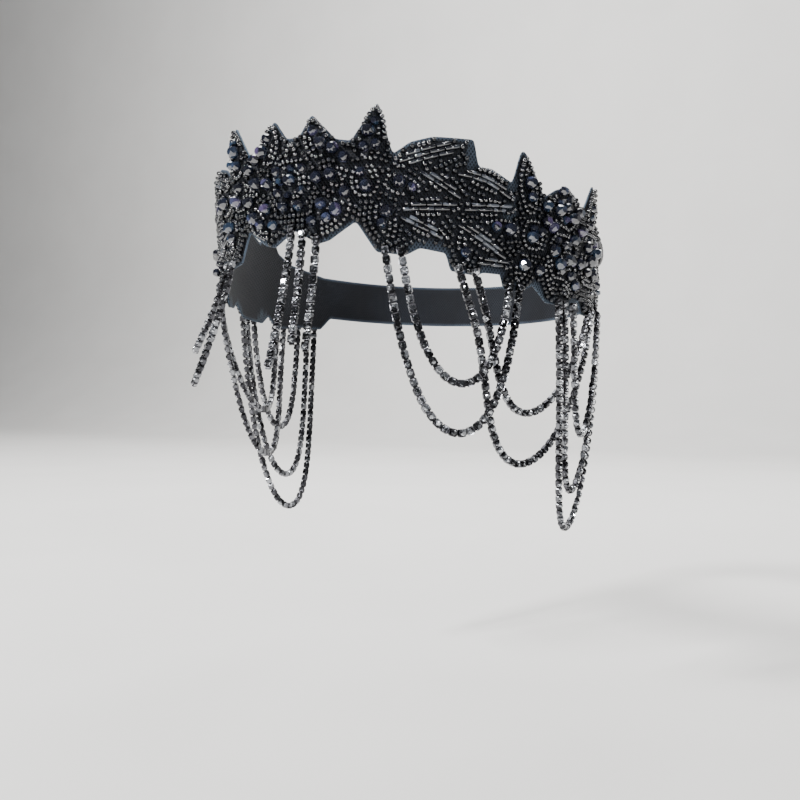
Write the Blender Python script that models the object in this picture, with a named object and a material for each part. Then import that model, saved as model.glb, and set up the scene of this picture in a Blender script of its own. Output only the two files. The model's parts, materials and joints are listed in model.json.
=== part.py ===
"""Beaded head chain: a net band worn round the crown of the head, sewn over with beaded petals and
leaves that carry cut stones, and hung with swags and a fringe of cup chain.

The head faces -Y, its left is +X and the crown is +Z. The origin is the middle of the head opening,
at the height where the band sits. Lengths are in metres. Places on the band are read from a chart
of squares, counted along the band from the front centre and up from the seat line.
"""

import math

import bmesh
import bpy
import numpy as np

MM = 0.001

# The opening for the head, an ellipse at the seat line
HEAD_HALF_WIDTH = 83.0 * MM
HEAD_HALF_DEPTH = 93.8 * MM
BAND_TILT = math.radians(3.2)
BAND_FLARE = 0.09

# The beaded pattern on one side, and the squares it is charted in
PATTERN_LENGTH = 172.0 * MM
PATTERN_HEIGHT = 64.0 * MM
CHART_COLUMNS = 172.0
CHART_ROWS = 64.0
COLUMN_STEP = 3.4

# Layers, from the head outwards
NET_THICKNESS = 1.0 * MM
SEWING_GAP = 0.4 * MM
BEAD_LAYER = 1.9 * MM
EDGE_DROP = 0.35

# Cut stones
STONE_LARGE = 4.8 * MM
STONE_SMALL = 3.7 * MM
STONE_RISE = 0.62
STONE_SINK = 1.1 * MM
STONE_FACETS = 8
TABLE_SHARE = 0.58

# Cup chain
CHAIN_WIDTH = 3.5 * MM
CHAIN_GAP = 0.8 * MM
CHAIN_STEP = 3.35
CHAIN_OVERLAP = 2.2 * MM

# Grid of one petal or leaf: quads along it and across it
PETAL_GRID = (5, 3)

# Shapes of outline: width at the base and at the tip as shares of the width, and where it is widest
OUTLINES = {
    "petal": (0.42, 0.12, 0.45),
    "leaf": (0.30, 0.14, 0.45),
    "round": (0.50, 0.50, 0.50),
}

# Upper edge of the net: column, row
NET_TOP = [
    (0.0, 12.8),
    (3.0, 13.2),
    (8.2, 20.6),
    (17.3, 10.9),
    (23.0, 10.1),
    (32.6, 24.0),
    (37.8, 5.2),
    (44.0, 9.8),
    (52.0, 12.2),
    (67.6, 12.8),
    (69.2, 3.6),
    (75.0, 3.4),
    (84.6, -0.4),
    (87.6, 12.6),
    (90.0, 11.6),
    (101.0, -2.6),
    (107.5, 1.6),
    (114.8, 4.4),
    (121.5, 1.8),
    (129.2, -2.4),
    (137.4, 11.0),
    (143.6, -4.2),
    (153.0, -8.6),
    (166.0, -10.2),
    (176.0, -12.0),
]

# Lower edge of the net: column, row
NET_BOTTOM = [
    (0.0, -20.8),
    (10.0, -26.2),
    (14.6, -25.2),
    (24.8, -18.6),
    (32.6, -29.6),
    (43.6, -30.4),
    (48.7, -27.6),
    (59.0, -28.9),
    (60.4, -35.0),
    (71.6, -36.0),
    (74.0, -34.6),
    (82.6, -34.4),
    (83.4, -39.8),
    (92.6, -39.8),
    (98.6, -36.6),
    (107.4, -42.2),
    (127.4, -42.4),
    (133.4, -38.0),
    (139.6, -43.0),
    (152.0, -42.6),
    (156.4, -41.0),
    (173.2, -40.6),
    (180.0, -34.0),
]

# Beaded pieces of one side: piece, outline, base column and row, tip column and row, width, bow
SIDE_BEADWORK = [
    ("front_flower_upper_left", "petal", 11.8, 4.0, 8.3, 18.8, 10.0, 0.0),
    ("front_flower_eye", "round", 28.4, -10.6, 28.4, 1.6, 11.6, 0.0),
    ("front_flower_eye", "petal", 24.4, -3.6, 10.6, -1.6, 8.2, 0.0),
    ("front_flower_up", "petal", 29.4, 2.4, 32.5, 22.2, 10.4, 0.0),
    ("front_flower_right", "petal", 34.9, -4.4, 48.8, -7.2, 8.6, 0.0),
    ("front_flower_low_right", "petal", 33.8, -12.2, 38.8, -25.2, 8.4, 0.0),
    ("front_flower_low_left", "petal", 22.6, -10.0, 12.0, -23.4, 9.4, 0.0),
    ("leaf_top", "leaf", 37.8, 1.2, 64.0, 10.0, 8.8, 0.02),
    ("leaf_middle", "leaf", 48.8, -0.4, 63.0, -8.2, 5.2, 0.0),
    ("leaf_crest", "leaf", 61.8, 0.4, 85.8, -7.2, 8.2, 0.07),
    ("leaf_long", "leaf", 64.8, -12.0, 85.4, -10.0, 5.2, 0.0),
    ("leaf_low_left", "leaf", 42.4, -13.6, 62.6, -12.2, 5.6, 0.0),
    ("leaf_low_left", "leaf", 42.0, -16.6, 59.6, -24.2, 7.4, 0.0),
    ("leaf_slant", "leaf", 63.2, -17.8, 82.6, -27.8, 5.6, 0.0),
    ("leaf_slant", "petal", 65.2, -19.4, 65.8, -33.2, 7.0, 0.0),
    ("leaf_hem", "leaf", 71.2, -30.6, 85.4, -30.8, 4.4, 0.0),
    ("side_flower_eye", "round", 95.4, -24.2, 95.4, -11.9, 12.0, 0.0),
    ("side_flower_up", "petal", 93.6, -11.0, 88.6, 10.6, 9.4, 0.0),
    ("side_flower_left", "petal", 88.6, -18.0, 72.8, -16.6, 7.2, 0.0),
    ("side_flower_low", "petal", 92.8, -25.2, 88.4, -37.0, 7.0, 0.0),
    ("side_flower_back", "petal", 112.0, -12.8, 114.6, 2.6, 18.6, 0.0),
    ("side_cluster", "round", 114.6, -33.0, 114.6, -14.2, 23.0, 0.0),
    ("side_cluster", "petal", 103.6, -22.0, 109.2, -39.4, 6.6, 0.0),
    ("side_cluster", "petal", 118.4, -26.0, 119.4, -39.2, 8.4, 0.0),
    ("rear_flower", "round", 138.4, -32.0, 138.4, -9.6, 21.0, 0.0),
    ("rear_flower", "petal", 134.4, -13.0, 137.3, 9.4, 9.0, 0.0),
    ("rear_flower", "petal", 142.8, -26.0, 145.6, -39.6, 8.0, 0.0),
    ("rear_flower", "petal", 146.0, -19.0, 164.0, -38.0, 9.0, 0.0),
]

# Beaded pieces on the front centre line
CENTRE_BEADWORK = [
    ("front_centre", "round", 0.0, -12.0, 0.0, 5.2, 17.6, 0.0),
    ("front_centre", "petal", 0.0, 1.0, 0.0, 11.6, 6.0, 0.0),
]

# Cut stones of one side: piece, column, row, size
SIDE_STONES = [
    ("front_flower_upper_left", 12.6, 9.0, "large"),
    ("front_flower_upper_left", 9.8, 13.6, "small"),
    ("front_flower_eye", 27.2, -1.8, "small"),
    ("front_flower_eye", 29.2, -6.6, "large"),
    ("front_flower_eye", 16.2, -2.2, "large"),
    ("front_flower_up", 29.6, 12.6, "large"),
    ("front_flower_up", 32.2, 8.0, "small"),
    ("front_flower_up", 28.2, 7.0, "small"),
    ("front_flower_right", 40.6, -5.0, "large"),
    ("front_flower_right", 44.8, -6.8, "small"),
    ("front_flower_low_right", 36.2, -15.6, "large"),
    ("front_flower_low_right", 34.8, -19.8, "small"),
    ("front_flower_low_left", 18.2, -14.8, "large"),
    ("front_flower_low_left", 14.6, -17.6, "small"),
    ("leaf_slant", 65.6, -28.4, "small"),
    ("side_flower_eye", 93.8, -19.4, "large"),
    ("side_flower_eye", 98.2, -16.8, "small"),
    ("side_flower_up", 91.2, 0.4, "large"),
    ("side_flower_up", 92.4, -4.6, "small"),
    ("side_flower_left", 77.4, -17.8, "small"),
    ("side_flower_left", 83.2, -18.2, "large"),
    ("side_flower_low", 91.0, -30.2, "large"),
    ("side_flower_back", 107.6, -6.8, "large"),
    ("side_flower_back", 112.8, -4.6, "small"),
    ("side_flower_back", 117.4, -8.2, "large"),
    ("side_cluster", 106.4, -22.6, "large"),
    ("side_cluster", 110.6, -27.0, "large"),
    ("side_cluster", 116.4, -24.6, "large"),
    ("side_cluster", 113.2, -19.4, "small"),
    ("side_cluster", 119.2, -30.6, "small"),
    ("rear_flower", 131.6, -17.0, "small"),
    ("rear_flower", 136.6, -21.6, "large"),
    ("rear_flower", 142.4, -17.2, "large"),
    ("rear_flower", 141.8, -26.8, "small"),
    ("rear_flower", 133.6, -26.6, "small"),
]

# Cut stones on the front centre line, and those beside it, repeated on both sides
CENTRE_STONES = [
    ("front_centre", 0.0, -3.2, "large"),
    ("front_centre", -5.6, 0.6, "small"),
    ("front_centre", 5.6, 0.6, "small"),
    ("front_centre", -5.0, -7.4, "small"),
    ("front_centre", 5.0, -7.4, "small"),
]

# Swags of one side: name, start and end column; four shares of the drop: lowest point on the left and
# on the right, lean outwards on the left and on the right; then how far it follows the head and how far
# it is gathered
SWAG_DROP = 100.0 * MM
SWAGS = [
    ("swag_front_outer", 35.8, 89.8, 0.905, 0.720, 0.050, 0.145, 1.0, 0.0),
    ("swag_front_inner", 41.4, 85.2, 0.725, 0.580, 0.050, 0.125, 1.0, 0.0),
    ("swag_side_outer", 62.6, 148.8, 1.045, 1.045, -0.060, -0.060, 0.75, 0.14),
    ("swag_side_inner", 69.2, 143.8, 0.840, 0.840, -0.060, -0.060, 0.80, 0.06),
    ("swag_back_outer", 112.6, 171.2, 1.335, 1.335, -0.060, -0.060, 1.0, 0.0),
    ("swag_back_middle", 117.0, 166.6, 1.175, 1.175, -0.050, -0.050, 1.0, 0.0),
    ("swag_back_inner", 124.0, 160.2, 0.935, 0.935, -0.020, -0.020, 1.0, 0.0),
]

# Fringe at the forehead: name, column, length, forward lean as a share of the length
FRINGE_LENGTH = 50.0 * MM
FRINGE = [
    ("fringe_long", 0.6, 1.06, 0.27),
    ("fringe_middle", 5.0, 0.84, 0.17),
    ("fringe_short", 10.6, 0.84, 0.17),
]

GIRTH_SAMPLES = 1440


def girth_table():
    """Distances along the seat line from the front centre, at even angles round the ellipse."""
    angle = np.linspace(0.0, math.pi, GIRTH_SAMPLES + 1)
    speed = np.hypot(HEAD_HALF_WIDTH * np.cos(angle), HEAD_HALF_DEPTH * np.sin(angle))
    steps = (speed[1:] + speed[:-1]) / 2 * np.diff(angle)
    return angle, np.concatenate([[0.0], np.cumsum(steps)])


ANGLES, DISTANCES = girth_table()
HALF_GIRTH = DISTANCES[-1]


def angle_at(along):
    """Angle round the head of a distance along the seat line, negative on the right."""
    along = np.asarray(along, float)
    return np.sign(along) * np.interp(np.abs(along), DISTANCES, ANGLES)


def on_band(along, up, out):
    """Point of the flared and tilted band at a distance along, up and out from the head."""
    angle = angle_at(along)
    up = np.asarray(up, float)
    reach = BAND_FLARE * up + out
    x = (HEAD_HALF_WIDTH + reach) * np.sin(angle)
    y = -(HEAD_HALF_DEPTH + reach) * np.cos(angle)
    turn, rise = math.cos(BAND_TILT), math.sin(BAND_TILT)
    return np.stack(np.broadcast_arrays(x, y * turn + up * rise, up * turn - y * rise), axis=-1)


def chart(column, row):
    """Distances along and up of a place on the chart."""
    along = np.asarray(column, float) * PATTERN_LENGTH / CHART_COLUMNS
    up = np.asarray(row, float) * PATTERN_HEIGHT / CHART_ROWS
    return along, up


def net_edge(table, column):
    """Row of one edge of the net at a column, level behind the last point of its table."""
    columns = [place[0] for place in table]
    rows = [place[1] for place in table]
    return np.interp(np.abs(column), columns, rows)


def material(name, colour, roughness, metallic):
    made = bpy.data.materials.new(name)
    made.use_nodes = True
    shader = made.node_tree.nodes["Principled BSDF"]
    shader.inputs["Base Color"].default_value = (*colour, 1.0)
    shader.inputs["Roughness"].default_value = roughness
    shader.inputs["Metallic"].default_value = metallic
    return made


def add_object(name, points, faces, look):
    """Object from points and faces, with its faces turned outwards."""
    mesh = bpy.data.meshes.new(name)
    mesh.from_pydata(points.tolist(), [], faces)
    work = bmesh.new()
    work.from_mesh(mesh)
    bmesh.ops.recalc_face_normals(work, faces=work.faces)
    work.to_mesh(mesh)
    work.free()
    mesh.materials.append(look)
    made = bpy.data.objects.new(name, mesh)
    bpy.context.scene.collection.objects.link(made)
    return made


def block_faces(across, along, ring):
    """Faces of a slab of two grids of points, inner then outer; ring joins its ends instead of capping."""
    layer = across * along
    last = along if ring else along - 1
    faces = []
    for i in range(last):
        k = (i + 1) % along
        for j in range(across - 1):
            quad = (i * across + j, k * across + j, k * across + j + 1, i * across + j + 1)
            faces.append(quad)
            faces.append(tuple(layer + corner for corner in reversed(quad)))
        for j in (0, across - 1):
            a, b = i * across + j, k * across + j
            faces.append((a, b, layer + b, layer + a))
    if not ring:
        for i in (0, along - 1):
            for j in range(across - 1):
                a = i * across + j
                faces.append((a, a + 1, layer + a + 1, layer + a))
    return faces


def add_net(look):
    """Closed ring of net, cut to its two edges, plain and level round the back."""
    wanted = np.arange(0.0, CHART_COLUMNS, COLUMN_STEP)
    corners = np.array([place[0] for place in NET_TOP + NET_BOTTOM])
    clear = np.abs(wanted[:, None] - corners[None, :]).min(axis=1) > COLUMN_STEP / 3
    columns = np.unique(np.round(np.concatenate([wanted[clear], corners]), 2))
    last = HALF_GIRTH * CHART_COLUMNS / PATTERN_LENGTH
    back = np.linspace(columns[-1], last, 12)[1:]
    half = np.concatenate([columns, back])
    whole = np.concatenate([half, -half[-2:0:-1]])
    low = net_edge(NET_BOTTOM, whole)
    high = net_edge(NET_TOP, whole)
    level = np.array([0.0, 0.55, 1.0])
    rows = low[:, None] + (high - low)[:, None] * level
    along, up = chart(np.repeat(whole[:, None], len(level), axis=1), rows)
    inner = on_band(along, up, 0.0).reshape(-1, 3)
    outer = on_band(along, up, NET_THICKNESS).reshape(-1, 3)
    faces = block_faces(len(level), len(whole), ring=True)
    return add_object("net_band", np.concatenate([inner, outer]), faces, look)


def outline_grid(row, side):
    """Columns and rows of a grid over a petal: straight lines across it, whose half width swells
    from the base share to full at its widest place and falls to the tip share."""
    _, outline, base_column, base_row, tip_column, tip_row, width, bow = row
    base_share, tip_share, widest = OUTLINES[outline]
    along, across = PETAL_GRID
    u = np.linspace(0.0, 1.0, along + 1)[:, None]
    v = np.linspace(-1.0, 1.0, across + 1)[None, :]
    ends = base_share + (tip_share - base_share) * u
    swell = np.sin(math.pi * u ** (math.log(0.5) / math.log(widest)))
    half = width / 2 * (ends + (1 - ends) * np.clip(swell, 0.0, 1.0) ** 0.9)
    axis = np.array([tip_column - base_column, tip_row - base_row])
    length = np.hypot(*axis)
    normal = np.array([-axis[1], axis[0]]) / length
    shift = bow * length * np.sin(math.pi * u) + v * half
    columns = base_column + axis[0] * u + normal[0] * shift
    rows = base_row + axis[1] * u + normal[1] * shift
    return side * columns, rows, u, v


def add_pad(name, row, side, look):
    """Beaded pad: a low crowned slab on the net over the outline of a petal."""
    columns, rows, u, v = outline_grid(row, side)
    along, up = chart(columns, rows)
    foot = NET_THICKNESS + SEWING_GAP
    crown = 1 - EDGE_DROP * (v**2 + 0 * u)
    inner = on_band(along, up, foot).reshape(-1, 3)
    outer = on_band(along, up, foot + BEAD_LAYER * crown).reshape(-1, 3)
    faces = block_faces(columns.shape[1], columns.shape[0], ring=False)
    return add_object(name, np.concatenate([inner, outer]), faces, look)


def add_stone(name, column, row, size, side, look):
    """Cut stone: an eight-sided foot in the pad, a crown of eight facets and a flat table."""
    width = STONE_LARGE if size == "large" else STONE_SMALL
    along, up = chart(side * column, row)
    top = NET_THICKNESS + SEWING_GAP + BEAD_LAYER
    centre = on_band(along, up, top)
    outwards = on_band(along, up, top + MM) - centre
    outwards /= np.linalg.norm(outwards)
    level = np.cross([0.0, 0.0, 1.0], outwards)
    level /= np.linalg.norm(level)
    upright = np.cross(outwards, level)
    turn = (np.arange(STONE_FACETS) + 0.5) * 2 * math.pi / STONE_FACETS
    ring = np.cos(turn)[:, None] * level + np.sin(turn)[:, None] * upright
    depths = (-STONE_SINK, 0.25 * STONE_RISE * width, STONE_RISE * width)
    shares = (0.86, 1.0, TABLE_SHARE)
    points = [
        centre + outwards * depth + ring * width / 2 * share
        for depth, share in zip(depths, shares)
    ]
    n = STONE_FACETS
    faces = [tuple(range(n)), tuple(range(2 * n, 3 * n))]
    for lower in (0, n):
        for i in range(n):
            k = (i + 1) % n
            faces.append((lower + i, lower + k, lower + n + k, lower + n + i))
    return add_object(name, np.concatenate(points), faces, look)


def fuse(body, helper):
    """Boolean union of a helper into a body."""
    helper.hide_render = True
    helper.display_type = "WIRE"
    union = body.modifiers.new(helper.name, "BOOLEAN")
    union.operation = "UNION"
    union.solver = "EXACT"
    union.object = helper


def add_beadwork(pads, stones, side, suffix, looks):
    """Each beaded piece: its pads and its stones fused into one body."""
    bodies = {}
    for number, row in enumerate(pads):
        piece = row[0]
        if piece in bodies:
            fuse(bodies[piece], add_pad(f"lobe_{number}{suffix}", row, side, looks["beads"]))
        else:
            bodies[piece] = add_pad(piece + suffix, row, side, looks["beads"])
    for number, (piece, column, row, size) in enumerate(stones):
        name = f"stone_{number}{suffix}"
        fuse(bodies[piece], add_stone(name, column, row, size, side, looks["stone"]))


def smooth_route(points, step):
    """Even points about a step apart on a smooth curve through the route's own points."""
    points = np.asarray(points, float)
    before = np.vstack([2 * points[0] - points[1], points, 2 * points[-1] - points[-2]])
    fine = []
    for i in range(len(points) - 1):
        p0, p1, p2, p3 = before[i : i + 4]
        t = np.linspace(0.0, 1.0, 20, endpoint=False)[:, None]
        fine.append(
            0.5
            * (
                2 * p1
                + (p2 - p0) * t
                + (2 * p0 - 5 * p1 + 4 * p2 - p3) * t**2
                + (3 * p1 - p0 - 3 * p2 + p3) * t**3
            )
        )
    fine = np.vstack([*fine, points[-1:]])
    walked = np.concatenate([[0.0], np.cumsum(np.linalg.norm(np.diff(fine, axis=0), axis=1))])
    count = max(4, round(walked[-1] / step))
    at = np.linspace(0.0, walked[-1], count + 1)
    return np.stack([np.interp(at, walked, fine[:, axis]) for axis in range(3)], axis=-1)


def add_strand(name, points, look):
    """Tube of the cup chain's width along a route, its ends closed."""
    route = smooth_route(points, CHAIN_STEP * CHAIN_WIDTH)
    curve = bpy.data.curves.new(name, "CURVE")
    curve.dimensions = "3D"
    curve.bevel_depth = CHAIN_WIDTH / 2
    curve.bevel_resolution = 2
    curve.use_fill_caps = True
    spline = curve.splines.new("POLY")
    spline.points.add(len(route) - 1)
    for point, place in zip(spline.points, route):
        point.co = (*place, 1.0)
    curve.materials.append(look)
    made = bpy.data.objects.new(name, curve)
    bpy.context.scene.collection.objects.link(made)
    return made


def chain_seat(column, side):
    """Where a chain's end is sewn on, just above the lower edge of the net and outside it."""
    row = net_edge(NET_BOTTOM, column)
    along, up = chart(side * column, row)
    out = NET_THICKNESS + CHAIN_GAP + CHAIN_WIDTH / 2
    return on_band(along, up + CHAIN_OVERLAP, out)


def hanging_share(start_rise, end_rise, span, count):
    """Catenary between two ends at heights above its lowest point: shares of the span and heights."""
    low, high = 1e-5, 10.0
    for _ in range(80):
        scale = (low + high) / 2
        reach = scale * (math.acosh(1 + start_rise / scale) + math.acosh(1 + end_rise / scale))
        low, high = (scale, high) if reach < span else (low, scale)
    share = np.linspace(0.0, 1.0, count)
    x = share * span - scale * math.acosh(1 + start_rise / scale)
    return share, scale * (np.cosh(x / scale) - 1)


def swag_points(row, side):
    """Route of a swag: a catenary between its two seats, on the head at its ends and leaning from
    the upright plane through them towards its lowest point."""
    _, first, last, low_left, low_right, lean_left, lean_right, fullness, gather = row
    lowest, lean = (low_left, lean_left) if side > 0 else (low_right, lean_right)
    start, end = chain_seat(first, side), chain_seat(last, side)
    bottom = -lowest * SWAG_DROP
    span = np.linalg.norm((end - start)[:2])
    share, height = hanging_share(start[2] - bottom, end[2] - bottom, span, 17)
    depth = 1 - height / max(start[2] - bottom, end[2] - bottom)
    middle_share = share[np.argmax(depth)]
    narrowed = 1 - gather * np.sin(math.pi * depth) * (share < middle_share)
    share = middle_share + (share - middle_share) * narrowed
    angles = [math.atan2(p[0] / HEAD_HALF_WIDTH, -p[1] / HEAD_HALF_DEPTH) for p in (start, end)]
    sizes = [np.hypot(p[0] / HEAD_HALF_WIDTH, p[1] / HEAD_HALF_DEPTH) for p in (start, end)]
    angle = angles[0] + (angles[1] - angles[0]) * share
    size = sizes[0] + (sizes[1] - sizes[0]) * share
    round_head = np.stack(
        [HEAD_HALF_WIDTH * size * np.sin(angle), -HEAD_HALF_DEPTH * size * np.cos(angle)], axis=-1
    )
    upright = start[:2] + (end - start)[:2] * share[:, None]
    middle = (angles[0] + angles[1]) / 2
    outwards = np.array([math.sin(middle), -math.cos(middle)])
    depth = np.clip(depth, 0.0, 1.0)[:, None]
    plan = upright + (round_head - upright) * (1 - depth) * fullness
    plan = plan + outwards * lean * SWAG_DROP * depth**1.5
    return np.concatenate([plan, (bottom + height)[:, None]], axis=1)


def fringe_points(row):
    """Route of a fringe strand: down from its seat, leaning forward as the brow does."""
    _, column, length, lean = row
    start = chain_seat(column, 1)
    down = length * FRINGE_LENGTH
    share = np.linspace(0.0, 1.0, 5)[:, None]
    forward = -lean * down * share**1.3
    drop = -down * share
    sideways = 0 * share
    return start + np.concatenate([sideways, forward, drop], axis=1)


def clear_scene():
    for old in list(bpy.data.objects):
        bpy.data.objects.remove(old, do_unlink=True)


def build():
    clear_scene()
    bpy.context.scene.unit_settings.scale_length = 1.0
    looks = {
        "net": material("dark net", (0.030, 0.040, 0.065), 0.80, 0.0),
        "beads": material("black glass beads", (0.012, 0.013, 0.018), 0.22, 0.0),
        "stone": material("black cut glass", (0.010, 0.010, 0.014), 0.06, 0.0),
        "chain": material("gunmetal cup chain", (0.20, 0.20, 0.22), 0.28, 0.9),
    }
    add_net(looks["net"])
    add_beadwork(CENTRE_BEADWORK, CENTRE_STONES, 1, "", looks)
    for side, suffix in ((1, "_l"), (-1, "_r")):
        add_beadwork(SIDE_BEADWORK, SIDE_STONES, side, suffix, looks)
        for row in SWAGS:
            add_strand(row[0] + suffix, swag_points(row, side), looks["chain"])
    for row in FRINGE:
        add_strand(row[0], fringe_points(row), looks["chain"])


build()
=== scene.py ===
"""Looks of a beaded head chain: dark net sewn over with seed beads, bugles and cut stones in petals and
leaves, hung with swags and a fringe of cup chain. Lengths are in metres unless a name says mm."""

import json
import math

import bpy
import numpy as np
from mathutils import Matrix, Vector

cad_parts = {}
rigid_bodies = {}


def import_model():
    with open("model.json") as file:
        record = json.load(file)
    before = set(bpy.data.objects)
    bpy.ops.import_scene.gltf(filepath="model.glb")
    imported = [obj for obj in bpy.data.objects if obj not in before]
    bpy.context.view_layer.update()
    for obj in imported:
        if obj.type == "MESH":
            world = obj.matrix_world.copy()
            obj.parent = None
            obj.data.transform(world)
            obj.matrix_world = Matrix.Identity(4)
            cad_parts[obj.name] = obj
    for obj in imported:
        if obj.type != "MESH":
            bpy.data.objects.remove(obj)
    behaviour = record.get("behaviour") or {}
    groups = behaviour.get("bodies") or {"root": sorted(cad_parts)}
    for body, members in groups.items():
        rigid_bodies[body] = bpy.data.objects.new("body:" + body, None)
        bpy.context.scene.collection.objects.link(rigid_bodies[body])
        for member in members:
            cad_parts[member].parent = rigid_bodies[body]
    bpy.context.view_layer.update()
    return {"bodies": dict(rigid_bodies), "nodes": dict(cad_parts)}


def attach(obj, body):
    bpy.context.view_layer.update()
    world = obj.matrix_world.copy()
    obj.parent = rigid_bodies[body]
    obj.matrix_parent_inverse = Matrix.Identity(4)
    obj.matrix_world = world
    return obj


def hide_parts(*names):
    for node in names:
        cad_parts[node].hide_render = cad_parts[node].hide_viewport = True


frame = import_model()

bl_info = {
    "name": "Beaded head chain",
    "version": (1, 0, 0),
    "blender": (4, 5, 0),
    "location": "3D View > Sidebar > Head chain",
    "description": "Dresses the head chain with net, beads, cut stones and cup chain",
    "category": "Add Mesh",
}

# The head opening, in millimetres, and the band that follows it
HEAD_HALF_WIDTH = 83.0
HEAD_HALF_DEPTH = 93.8
BAND_TILT = math.radians(3.2)
BAND_FLARE = 0.09

# Distances out from the inside of the band, in millimetres
NET_INSIDE = 0.25
NET_OUTSIDE = 0.95
GROUND_OUT = 1.95
BUGLE_OUT = 2.15
MOTIF_OUT = 2.25
SMALL_STONE_OUT = 2.3
LOOSE_STONE_OUT = 2.7
PAD_TOP = 3.3
SEAT_OUT = 3.55

# On the flat chart, in millimetres: a chain's seat above the lower edge, the last beaded column, a small
# stone's width and rise, the gap left round each motif, the step between places tried for single beads, the
# hem beads' distance from the edge, and the width of the net's rim, where its rows draw closer and painted
# light makes the net pale
SEAT_UP = 2.2
BEADED_COLUMNS = 152.0
SMALL_STONE = 3.3
SMALL_STONE_RISE = 1.75
MOTIF_GAP = 0.35
FILL_STEP = 0.9
HEM_INSET = 1.2
NET_RIM = 1.6

# How far the corners of the net are worn round, and those of the line that the hem beads follow
NET_WEAR = 0.9
HEM_WEAR = 2.5

# Room that a seed bead takes to each side, as a share of the bead pitch, and the rows of beads on the
# ground outside each motif, in row pitches
SEED_REACH = 0.46
GROUND_ROWS = (0.7, 1.7, 2.7, 3.7)

# How far small stones and cups are tipped by chance, in radians
STONE_TIP = 0.16
CUP_TIP = 0.11

# Columns of the net round the band, and rows between its rims
NET_COLUMNS = 720
NET_ROWS = 12

# Shapes of outline: width at the base and at the tip as shares of the width, and where it is widest
OUTLINES = {
    "petal": (0.42, 0.12, 0.45),
    "leaf": (0.30, 0.14, 0.45),
    "round": (0.50, 0.50, 0.50),
}

# Upper and lower edge of the net on one side: column, row, in millimetres on the flat chart
NET_TOP = [
    (0.0, 12.8), (3.0, 13.2), (8.2, 20.6), (17.3, 10.9), (23.0, 10.1), (32.6, 24.0), (37.8, 5.2),
    (44.0, 9.8), (52.0, 12.2), (67.6, 12.8), (69.2, 3.6), (75.0, 3.4), (84.6, -0.4), (87.6, 12.6),
    (90.0, 11.6), (101.0, -2.6), (107.5, 1.6), (114.8, 4.4), (121.5, 1.8), (129.2, -2.4),
    (137.4, 11.0), (143.6, -4.2), (153.0, -8.6), (166.0, -10.2), (176.0, -12.0),
]
NET_BOTTOM = [
    (0.0, -20.8), (10.0, -26.2), (14.6, -25.2), (24.8, -18.6), (32.6, -29.6), (43.6, -30.4),
    (48.7, -27.6), (59.0, -28.9), (60.4, -35.0), (71.6, -36.0), (74.0, -34.6), (82.6, -34.4),
    (83.4, -39.8), (92.6, -39.8), (98.6, -36.6), (107.4, -42.2), (127.4, -42.4), (133.4, -38.0),
    (139.6, -43.0), (152.0, -42.6), (156.4, -41.0), (173.2, -40.6), (180.0, -34.0),
]

# Beaded pieces of one side: piece, outline, base column and row, tip column and row, width, bow
SIDE_BEADWORK = [
    ("front_flower_upper_left", "petal", 11.8, 4.0, 8.3, 18.8, 10.0, 0.0),
    ("front_flower_eye", "round", 28.4, -10.6, 28.4, 1.6, 11.6, 0.0),
    ("front_flower_eye", "petal", 24.4, -3.6, 10.6, -1.6, 8.2, 0.0),
    ("front_flower_up", "petal", 29.4, 2.4, 32.5, 22.2, 10.4, 0.0),
    ("front_flower_right", "petal", 34.9, -4.4, 48.8, -7.2, 8.6, 0.0),
    ("front_flower_low_right", "petal", 33.8, -12.2, 38.8, -25.2, 8.4, 0.0),
    ("front_flower_low_left", "petal", 22.6, -10.0, 12.0, -23.4, 9.4, 0.0),
    ("leaf_top", "leaf", 37.8, 1.2, 64.0, 10.0, 8.8, 0.02),
    ("leaf_middle", "leaf", 48.8, -0.4, 63.0, -8.2, 5.2, 0.0),
    ("leaf_crest", "leaf", 61.8, 0.4, 85.8, -7.2, 8.2, 0.07),
    ("leaf_long", "leaf", 64.8, -12.0, 85.4, -10.0, 5.2, 0.0),
    ("leaf_low_left", "leaf", 42.4, -13.6, 62.6, -12.2, 5.6, 0.0),
    ("leaf_low_left", "leaf", 42.0, -16.6, 59.6, -24.2, 7.4, 0.0),
    ("leaf_slant", "leaf", 63.2, -17.8, 82.6, -27.8, 5.6, 0.0),
    ("leaf_slant", "petal", 65.2, -19.4, 65.8, -33.2, 7.0, 0.0),
    ("leaf_hem", "leaf", 71.2, -30.6, 85.4, -30.8, 4.4, 0.0),
    ("side_flower_eye", "round", 95.4, -24.2, 95.4, -11.9, 12.0, 0.0),
    ("side_flower_up", "petal", 93.6, -11.0, 88.6, 10.6, 9.4, 0.0),
    ("side_flower_left", "petal", 88.6, -18.0, 72.8, -16.6, 7.2, 0.0),
    ("side_flower_low", "petal", 92.8, -25.2, 88.4, -37.0, 7.0, 0.0),
    ("side_flower_back", "petal", 112.0, -12.8, 114.6, 2.6, 18.6, 0.0),
    ("side_cluster", "round", 114.6, -33.0, 114.6, -14.2, 23.0, 0.0),
    ("side_cluster", "petal", 103.6, -22.0, 109.2, -39.4, 6.6, 0.0),
    ("side_cluster", "petal", 118.4, -26.0, 119.4, -39.2, 8.4, 0.0),
    ("rear_flower", "round", 138.4, -32.0, 138.4, -9.6, 21.0, 0.0),
    ("rear_flower", "petal", 134.4, -13.0, 137.3, 9.4, 9.0, 0.0),
    ("rear_flower", "petal", 142.8, -26.0, 145.6, -39.6, 8.0, 0.0),
    ("rear_flower", "petal", 146.0, -19.0, 164.0, -38.0, 9.0, 0.0),
]
CENTRE_BEADWORK = [
    ("front_centre", "round", 0.0, -12.0, 0.0, 5.2, 17.6, 0.0),
    ("front_centre", "petal", 0.0, 1.0, 0.0, 11.6, 6.0, 0.0),
]

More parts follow.
